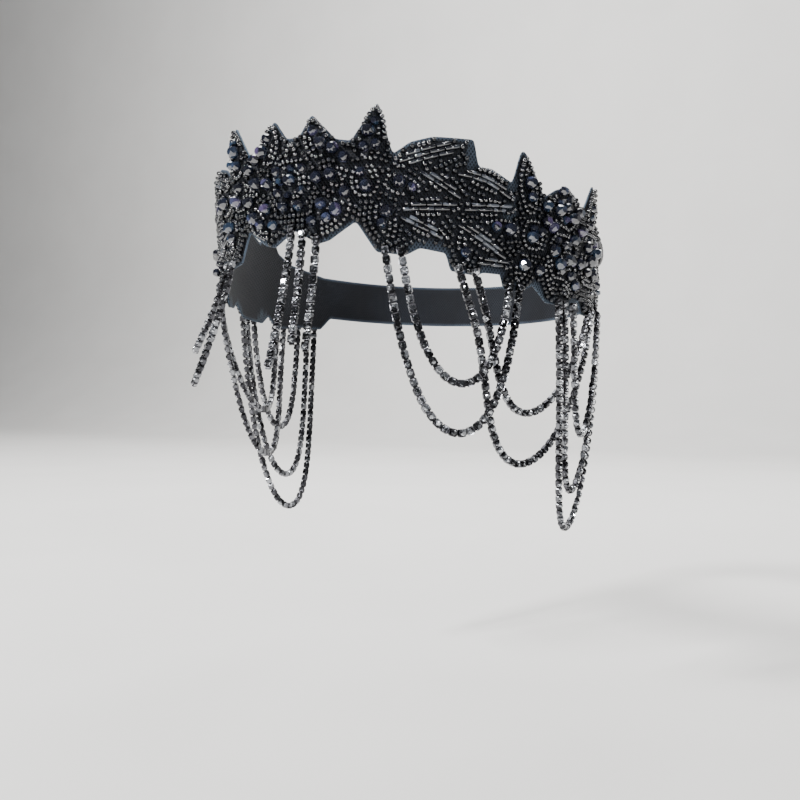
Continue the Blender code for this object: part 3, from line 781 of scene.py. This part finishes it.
def net_look():
    """Fine dark net: two families of threads crossing slantwise over the band's own UV, pale where a thread
    runs and dark in the openings; near black over most of the band as painted shade under the beads, and
    paler at the rims and bare patches as painted light on bare translucent net; with a slow change of tone
    and a little sheen."""
    made, add, finish = material_nodes("dark net")
    uv = add("ShaderNodeUVMap", {"uv_map": "band"}).outputs["UV"]
    threads = []
    for turn in (0.62, -0.62):
        turned = add("ShaderNodeMapping", {"Rotation": (0.0, 0.0, turn), "Vector": uv})
        waves = add("ShaderNodeTexWave", {"Scale": 0.314 / settings().mesh_size, "Distortion": 0.4,
                                          "Detail": 1.0, "Detail Scale": 1.5,
                                          "Vector": turned.outputs["Vector"]})
        threads.append(waves.outputs["Fac"])
    crossed = add("ShaderNodeMath", {"operation": "MAXIMUM", 0: threads[0], 1: threads[1]}).outputs["Value"]
    # Near-black net under the beads is painted shade; the pale threads at the rims and in the bare patches
    # are painted light on bare translucent net
    dark = ramp(add, [(0.55, (0.001, 0.0014, 0.003)), (0.88, (0.005, 0.007, 0.012))], crossed)
    pale = ramp(add, [(0.45, (0.010, 0.015, 0.024)), (0.85, settings().lit_thread_colour)], crossed)
    rim = add("ShaderNodeAttribute", {"attribute_name": "rim"}).outputs["Fac"]
    net_with_painted_light_and_shade = add("ShaderNodeMix", {"data_type": "RGBA", "Factor": rim, "A": dark, "B": pale})
    tone = add("ShaderNodeTexNoise", {"Scale": 38.0, "Detail": 3.0, "Vector": uv}).outputs["Fac"]
    shade = ramp(add, [(0.35, (0.55, 0.55, 0.60)), (0.70, (1.25, 1.25, 1.20))], tone)
    mixed = add("ShaderNodeMix", {"data_type": "RGBA", "blend_type": "MULTIPLY", "Factor": 1.0,
                                  "A": net_with_painted_light_and_shade.outputs["Result"], "B": shade})
    bump = add("ShaderNodeBump", {"Strength": 0.8, "Distance": 0.0002, "Height": crossed})
    finish({"Base Color": mixed.outputs["Result"], "Normal": bump.outputs["Normal"], "Roughness": 0.72,
            "IOR": 1.3, "Sheen Weight": 0.05, "Sheen Roughness": 0.4})
    return made


def look(name):
    """The head chain's finishes, each made once."""
    if name not in LOOKS:
        LOOKS[name] = net_look() if name == "net" else glass_look(name, **FINISHES[name])
    return LOOKS[name]


def seed_batch(rows, out, seed):
    """Seed beads at rows of place and direction, each turned a little from its neighbours."""
    rows = np.vstack(rows)
    random = np.random.default_rng(seed)
    angle = np.arctan2(rows[:, 3], rows[:, 2]) + random.normal(0.0, 0.10, len(rows))
    places = rows[:, :2] + random.normal(0.0, 0.05, (len(rows), 2))
    directions = np.column_stack([np.cos(angle), np.sin(angle)])
    height = out + random.uniform(-0.06, 0.06, len(rows))
    points, faces = seed_bead_form()
    frames = band_frames(places, directions, height)
    return spread((points, faces), frames, np.zeros(len(faces), int))


def bugle_batch(rows):
    """Bugles at rows of place and direction."""
    rows = np.vstack(rows)
    points, faces = bugle_form()
    frames = band_frames(rows[:, :2], rows[:, 2:], np.full(len(rows), BUGLE_OUT))
    return spread((points, faces), frames, np.ones(len(faces), int))


def stud_batch(rows, seed):
    """Small stones at rows of place and direction, each tipped a little."""
    rows = np.vstack(rows)
    random = np.random.default_rng(seed)
    height = SMALL_STONE_OUT + random.uniform(-0.15, 0.15, len(rows))
    frames = band_frames(rows[:, :2], rows[:, 2:], height)
    points, faces = small_stone_form(SMALL_STONE, SMALL_STONE_RISE)
    return spread((points, faces), tipped(frames, STONE_TIP, random), np.full(len(faces), 2))


def tipped(frames, amount, random):
    """The same frames, each tipped by chance about its two level axes."""
    centre, along, across, outwards = frames
    tip = random.normal(0.0, amount, (len(centre), 2))
    outwards = unit(outwards + across * tip[:, :1] + along * tip[:, 1:])
    along = unit(along - outwards * np.sum(along * outwards, axis=1, keepdims=True))
    return centre, along, np.cross(outwards, along), outwards


def stone_batch(stones, out, seed):
    """Cut stones with their girdles at a height, each turned on its own axis."""
    batches = []
    random = np.random.default_rng(seed)
    for _, column, row, width in stones:
        turn = random.uniform(0.0, math.pi / 4)
        points, faces = cut_stone_form(width)
        direction = np.array([[math.cos(turn), math.sin(turn)]])
        frames = band_frames(np.array([[column, row]]), direction, np.array([out]))
        batches.append(spread((points, faces), frames, np.full(len(faces), 2)))
    return batches


def smooth_route(points, step):
    """Even points about a step apart on a smooth curve through the route's own points."""
    points = np.asarray(points, float)
    before = np.vstack([2 * points[0] - points[1], points, 2 * points[-1] - points[-2]])
    t = np.linspace(0.0, 1.0, 20, endpoint=False)[None, :, None]
    p0, p1, p2, p3 = (before[k:len(before) - 3 + k, None] for k in range(4))
    fine = 0.5 * (2 * p1 + (p2 - p0) * t + (2 * p0 - 5 * p1 + 4 * p2 - p3) * t**2
                  + (3 * p1 - p0 - 3 * p2 + p3) * t**3)
    fine = np.vstack([fine.reshape(-1, 3), points[-1:]])
    walked = np.concatenate([[0.0], np.cumsum(np.linalg.norm(np.diff(fine, axis=0), axis=1))])
    count = max(4, round(walked[-1] / step))
    at = np.linspace(0.0, walked[-1], count + 1)
    return np.stack([np.interp(at, walked, fine[:, axis]) for axis in range(3)], axis=-1)


def chain_seat(column, side):
    """Where a strand starts or ends: on the motifs, a little above the net's lower edge."""
    row = net_edge(NET_BOTTOM, column)
    return on_band(side * column, row + SEAT_UP, SEAT_OUT)


def hanging_share(start_rise, end_rise, span, count):
    """Catenary between two ends at heights above its lowest point: shares of the span and heights."""
    low, high = 1e-2, 1e4
    for _ in range(80):
        scale = (low + high) / 2
        reach = scale * (math.acosh(1 + start_rise / scale) + math.acosh(1 + end_rise / scale))
        low, high = (scale, high) if reach < span else (low, scale)
    x = np.linspace(0.0, span, count) - scale * math.acosh(1 + start_rise / scale)
    return np.linspace(0.0, 1.0, count), scale * (np.cosh(x / scale) - 1)


def swag_points(row, side):
    """Route of a swag: a catenary between its two seats, following the round of the band at its ends
    and leaning from the upright plane through them towards its lowest point."""
    _, first, last, low_left, low_right, lean_left, lean_right, fullness, gather = row
    lowest, lean = (low_left, lean_left) if side > 0 else (low_right, lean_right)
    start, end = chain_seat(first, side), chain_seat(last, side)
    span = np.linalg.norm((end - start)[:2])
    share, height = hanging_share(start[2] + lowest, end[2] + lowest, span, 17)
    depth = 1 - height / max(start[2] + lowest, end[2] + lowest)
    middle_share = share[np.argmax(depth)]
    narrowed = 1 - gather * np.sin(math.pi * depth) * (share < middle_share)
    share = middle_share + (share - middle_share) * narrowed
    angles = [math.atan2(p[0] / HEAD_HALF_WIDTH, -p[1] / HEAD_HALF_DEPTH) for p in (start, end)]
    sizes = [np.hypot(p[0] / HEAD_HALF_WIDTH, p[1] / HEAD_HALF_DEPTH) for p in (start, end)]
    angle = angles[0] + (angles[1] - angles[0]) * share
    size = sizes[0] + (sizes[1] - sizes[0]) * share
    round_head = np.stack([HEAD_HALF_WIDTH * size * np.sin(angle),
                           -HEAD_HALF_DEPTH * size * np.cos(angle)], axis=-1)
    upright = start[:2] + (end - start)[:2] * share[:, None]
    middle = (angles[0] + angles[1]) / 2
    outwards = np.array([math.sin(middle), -math.cos(middle)])
    depth = np.clip(depth, 0.0, 1.0)[:, None]
    plan = upright + (round_head - upright) * (1 - depth) * fullness
    plan = plan + outwards * lean * depth**1.5
    return np.concatenate([plan, (height - lowest)[:, None]], axis=1)


def fringe_points(row):
    """Route of a fringe strand: down from its seat, leaning forward by a power of the share run."""
    _, column, length, lean = row
    share = np.linspace(0.0, 1.0, 5)[:, None]
    drop = np.concatenate([0 * share, -lean * length * share**1.3, -length * share], axis=1)
    return chain_seat(column, 1) + drop


def chain_frames(points):
    """A frame for each cup on a route: along the chain, across it, and outwards from the opening."""
    pitch = settings().cup_pitch * 1000
    route = smooth_route(points, pitch)
    centre = (route[1:] + route[:-1]) / 2
    along = unit(route[1:] - route[:-1])
    radial = unit(np.column_stack([centre[:, 0] / HEAD_HALF_WIDTH**2, centre[:, 1] / HEAD_HALF_DEPTH**2,
                                   np.zeros(len(centre))]))
    outwards = unit(radial - along * np.sum(radial * along, axis=1, keepdims=True))
    return centre, along, np.cross(outwards, along), outwards


def add_chain(node, points, seed):
    """Cup chain along a route, in place of the plain strand of the same name."""
    frames = tipped(chain_frames(points), CUP_TIP, np.random.default_rng(seed))
    metal, bar, stone = cup_forms()
    # The bars take the near-black links finish: painted shade in the gaps between cups
    points, faces, slots = joined([(part, 0) for part in metal] + [(stone, 1), (bar, 2)])
    made = mesh_object("cups_" + node, [spread((points, faces), frames, slots)],
                       [look("gunmetal cups"), look("chain stones"), look("links in painted gap shade")],
                       flat_slots=(0, 1, 2))
    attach(made, "root")
    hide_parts(node)


def net_chart():
    """Columns and rows of the net's grid, rows closer at the rims, and at each point how much painted light
    makes the net pale: fully at the rims, and at a little over half in the bare patches.
    """
    column = np.linspace(-HALF_GIRTH, HALF_GIRTH, NET_COLUMNS + 1)[:-1]
    low = rounded_edge(NET_BOTTOM, column, NET_WEAR)
    high = rounded_edge(NET_TOP, column, NET_WEAR)
    hem = np.array([0.0, 0.7, NET_RIM])
    inner_share = np.linspace(0.0, 1.0, NET_ROWS + 1)[1:-1]
    level = low[:, None] + NET_RIM + (high - low - 2 * NET_RIM)[:, None] * inner_share
    row = np.hstack([low[:, None] + hem, level, high[:, None] - hem[::-1]])
    wide = np.repeat(column[:, None], row.shape[1], axis=1)
    rim = np.clip(1 - np.minimum(row - low[:, None], high[:, None] - row) / NET_RIM, 0.0, 1.0)
    return wide, row, np.maximum(rim, 0.55 * on_bare_net(wide, row))


def net_faces(count, rows):
    """Faces of two grids of points that close on themselves, inner then outer, joined at both edges."""
    i, j = np.meshgrid(np.arange(count), np.arange(rows - 1), indexing="ij")
    k = (i + 1) % count
    outward = np.stack([i * rows + j, k * rows + j, k * rows + j + 1, i * rows + j + 1], axis=-1)
    outward = outward.reshape(-1, 4)
    layer = count * rows
    edge = np.arange(count)
    bottom = np.stack([edge * rows, (edge + 1) % count * rows], axis=-1)
    top = bottom + rows - 1
    return np.vstack([
        outward + layer,
        outward[:, ::-1],
        np.column_stack([bottom, bottom[:, ::-1] + layer]),
        np.column_stack([top[:, ::-1], top + layer]),
    ])


def net_uv(wide, row, faces):
    """Places on the chart at the corners of the faces, in metres, carried on across the seam."""
    places = np.column_stack([np.tile(wide.ravel(), 2), np.tile(row.ravel(), 2)])[faces]
    seam = places[:, :, 0].max(axis=1) > places[:, :, 0].min(axis=1) + HALF_GIRTH
    places[seam, :, 0] = np.where(places[seam, :, 0] < 0, places[seam, :, 0] + 2 * HALF_GIRTH,
                                  places[seam, :, 0])
    return places / 1000


class HEADCHAIN_OT_net(bpy.types.Operator):
    """Net backing: a thin closed band cut to its two edges, with its own UV for the weave"""

    bl_idname = "head_chain.net"
    bl_label = "Net backing"

    def execute(self, context):
        wide, row, rim = net_chart()
        inner = on_band(wide, row, NET_INSIDE).reshape(-1, 3)
        outer = on_band(wide, row, NET_OUTSIDE).reshape(-1, 3)
        faces = net_faces(*row.shape)
        batch = (np.vstack([inner, outer]), faces.ravel(), np.full(len(faces), 4),
                 np.zeros(len(faces), int))
        made = mesh_object("net_backing", [batch], [look("net")])
        uv = made.data.uv_layers.new(name="band")
        uv.data.foreach_set("uv", net_uv(wide, row, faces).astype(np.float32).ravel())
        # Where painted light makes the net pale: its rims, and the bare patches
        made.data.attributes.new("rim", "FLOAT", "POINT").data.foreach_set(
            "value", np.tile(rim.ravel(), 2).astype(np.float32))
        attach(made, "root")
        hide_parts("net_band")
        return {"FINISHED"}


class HEADCHAIN_OT_beadwork(bpy.types.Operator):
    """Petals, leaves and the beads between them: seed beads in rows, bugles and cut stones"""

    bl_idname = "head_chain.beadwork"
    bl_label = "Beadwork"

    def execute(self, context):
        work, stones = sew_all()
        looks = [look("black seed beads"), look("black bugles"), look("black cut stones")]
        nodes = sorted({piece for piece in work.seeds if piece != "ground"})
        for number, node in enumerate(nodes):
            batches = [seed_batch(work.seeds[node], MOTIF_OUT, number)]
            if node in work.bugles:
                batches.append(bugle_batch(work.bugles[node]))
            if node in work.studs:
                batches.append(stud_batch(work.studs[node], number))
            batches += stone_batch([stone for stone in stones if stone[0] == node], PAD_TOP, number)
            made = mesh_object("beads_" + node, batches, looks, flat_slots=(2,))
            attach(made, "root")
            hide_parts(node)
        # Beads between the motifs take the darker, duller ground finish: painted shade between the motifs
        rows = np.vstack(work.seeds["ground"])
        for name, chosen in (("ground_beads_l", rows[:, 0] >= 0), ("ground_beads_r", rows[:, 0] < 0)):
            made = mesh_object(name, [seed_batch([rows[chosen]], GROUND_OUT, 90)], [look("ground beads")])
            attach(made, "root")
        for suffix in ("_l", "_r"):
            loose = [stone for stone in stones if stone[0] == "loose" + suffix]
            batches = stone_batch(loose, LOOSE_STONE_OUT, 80)
            made = mesh_object("loose_stones" + suffix, batches, looks, flat_slots=(2,))
            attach(made, "root")
        return {"FINISHED"}


class HEADCHAIN_OT_hems(bpy.types.Operator):
    """Plain back of the band: one row of seed beads along each edge of the net"""

    bl_idname = "head_chain.hems"
    bl_label = "Hem beads"

    def execute(self, context):
        pitch = settings().bead_pitch * 1000 * 1.05
        column = np.arange(BEADED_COLUMNS, 2 * HALF_GIRTH - BEADED_COLUMNS, pitch)
        column = np.where(column > HALF_GIRTH, column - 2 * HALF_GIRTH, column)
        rows = []
        for table, inset in ((NET_TOP, -HEM_INSET), (NET_BOTTOM, HEM_INSET)):
            row = rounded_edge(table, column, HEM_WEAR) + inset
            rows.append(np.column_stack([column, row, np.ones(len(row)), np.zeros(len(row))]))
        made = mesh_object("hem_beads", [seed_batch(rows, GROUND_OUT, 91)], [look("black seed beads")])
        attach(made, "root")
        return {"FINISHED"}


class HEADCHAIN_OT_swags(bpy.types.Operator):
    """Swags of cup chain on both sides"""

    bl_idname = "head_chain.swags"
    bl_label = "Swags"

    def execute(self, context):
        for side, suffix in ((1, "_l"), (-1, "_r")):
            for number, row in enumerate(SWAGS):
                add_chain(row[0] + suffix, swag_points(row, side), 200 + 10 * number + side)
        return {"FINISHED"}


class HEADCHAIN_OT_fringe(bpy.types.Operator):
    """Three short strands of cup chain at the forehead"""

    bl_idname = "head_chain.fringe"
    bl_label = "Fringe"

    def execute(self, context):
        for number, row in enumerate(FRINGE):
            add_chain(row[0], fringe_points(row), 300 + number)
        return {"FINISHED"}


class HEADCHAIN_OT_stage(bpy.types.Operator):
    """Pale floor that curves up into a backdrop, soft lights and the camera"""

    bl_idname = "head_chain.stage"
    bl_label = "Studio"

    def execute(self, context):
        add_floor()
        add_lights()
        add_camera()
        return {"FINISHED"}


def add_floor():
    """Floor sheet: flat, then a quarter round, then upright, drawn out sideways."""
    turn = np.linspace(0.0, math.pi / 2, 13)
    bend = np.column_stack([FLOOR_BACK + FLOOR_ROUND * np.sin(turn),
                            FLOOR_LEVEL + FLOOR_ROUND * (1 - np.cos(turn))])
    profile = np.vstack([[-3.5, FLOOR_LEVEL], bend, [FLOOR_BACK + FLOOR_ROUND, 3.0]])
    points = np.vstack([np.column_stack([np.full(len(profile), x), profile]) for x in (-4.0, 4.0)])
    count = len(profile)
    faces = [(i, count + i, count + i + 1, i + 1) for i in range(count - 1)]
    mesh = bpy.data.meshes.new("studio_floor")
    mesh.from_pydata(points.tolist(), [], faces)
    mesh.polygons.foreach_set("use_smooth", [True] * len(faces))
    made, add, finish = material_nodes("pale paper")
    where = add("ShaderNodeTexCoord", {}).outputs["Object"]
    grain = add("ShaderNodeTexNoise", {"Scale": 6.0, "Detail": 3.0, "Vector": where})
    tone = ramp(add, [(0.3, (0.70, 0.69, 0.67)), (0.7, (0.73, 0.72, 0.70))], grain.outputs["Fac"])
    finish({"Base Color": tone, "Roughness": 0.9})
    mesh.materials.append(made)
    floor = bpy.data.objects.new("studio_floor", mesh)
    bpy.context.scene.collection.objects.link(floor)


def add_lights():
    """A broad soft lamp on the backdrop, and smaller ones whose reflections make the beads sparkle."""
    for name, place, target, size, power in LAMPS:
        light = bpy.data.lights.new(name, "AREA")
        light.size = size
        light.energy = power
        lamp = bpy.data.objects.new(name, light)
        lamp.location = place
        lamp.rotation_mode = "QUATERNION"
        lamp.rotation_quaternion = quaternion_towards(np.array(target) - np.array(place))
        bpy.context.scene.collection.objects.link(lamp)
    world = bpy.data.worlds.new("studio")
    world.use_nodes = True
    world.node_tree.nodes["Background"].inputs["Color"].default_value = (0.78, 0.82, 0.90, 1.0)
    world.node_tree.nodes["Background"].inputs["Strength"].default_value = 0.12
    bpy.context.scene.world = world


def quaternion_towards(direction):
    """Turn that points a lamp or camera along a direction, upright."""
    return Vector(direction).to_track_quat("-Z", "Y")


def add_camera():
    """Close camera at the height of the swags, turned from the front towards +X."""
    data = bpy.data.cameras.new("photo_view")
    data.sensor_width = 36.0
    data.lens = CAMERA_LENS
    data.shift_x = CAMERA_SHIFT
    data.clip_start = 0.01
    camera = bpy.data.objects.new("photo_view", data)
    side, front, level = math.sin(CAMERA_TURN), math.cos(CAMERA_TURN), math.cos(CAMERA_DIP)
    camera.location = (CAMERA_DISTANCE * side, -CAMERA_DISTANCE * front, CAMERA_HEIGHT)
    direction = (-side * level, front * level, -math.sin(CAMERA_DIP))
    camera.rotation_mode = "QUATERNION"
    camera.rotation_quaternion = quaternion_towards(direction)
    bpy.context.scene.collection.objects.link(camera)
    bpy.context.scene.camera = camera


class HEADCHAIN_PT_panel(bpy.types.Panel):
    """Sizes and pieces of the head chain"""

    bl_idname = "HEADCHAIN_PT_panel"
    bl_label = "Head chain"
    bl_space_type = "VIEW_3D"
    bl_region_type = "UI"
    bl_category = "Head chain"

    def draw(self, context):
        s = context.scene.head_chain
        for name in HeadChainSettings.__annotations__:
            self.layout.prop(s, name)
        for operator in OPERATORS:
            self.layout.operator(operator.bl_idname)


OPERATORS = [HEADCHAIN_OT_net, HEADCHAIN_OT_beadwork, HEADCHAIN_OT_hems, HEADCHAIN_OT_swags,
             HEADCHAIN_OT_fringe, HEADCHAIN_OT_stage]
CLASSES = [HeadChainSettings, *OPERATORS, HEADCHAIN_PT_panel]


def register():
    for kind in CLASSES:
        bpy.utils.register_class(kind)
    bpy.types.Scene.head_chain = bpy.props.PointerProperty(type=HeadChainSettings)


def unregister():
    del bpy.types.Scene.head_chain
    for kind in reversed(CLASSES):
        bpy.utils.unregister_class(kind)


def clear_startup():
    """Takes away what Blender starts with, and leaves the frame."""
    kept = set(frame["nodes"].values()) | set(frame["bodies"].values())
    for old in list(bpy.data.objects):
        if old not in kept:
            bpy.data.objects.remove(old, do_unlink=True)


def main():
    clear_startup()
    register()
    bpy.ops.head_chain.net()
    bpy.ops.head_chain.beadwork()
    bpy.ops.head_chain.hems()
    bpy.ops.head_chain.swags()
    bpy.ops.head_chain.fringe()
    bpy.ops.head_chain.stage()


if __name__ == "__main__":
    main()
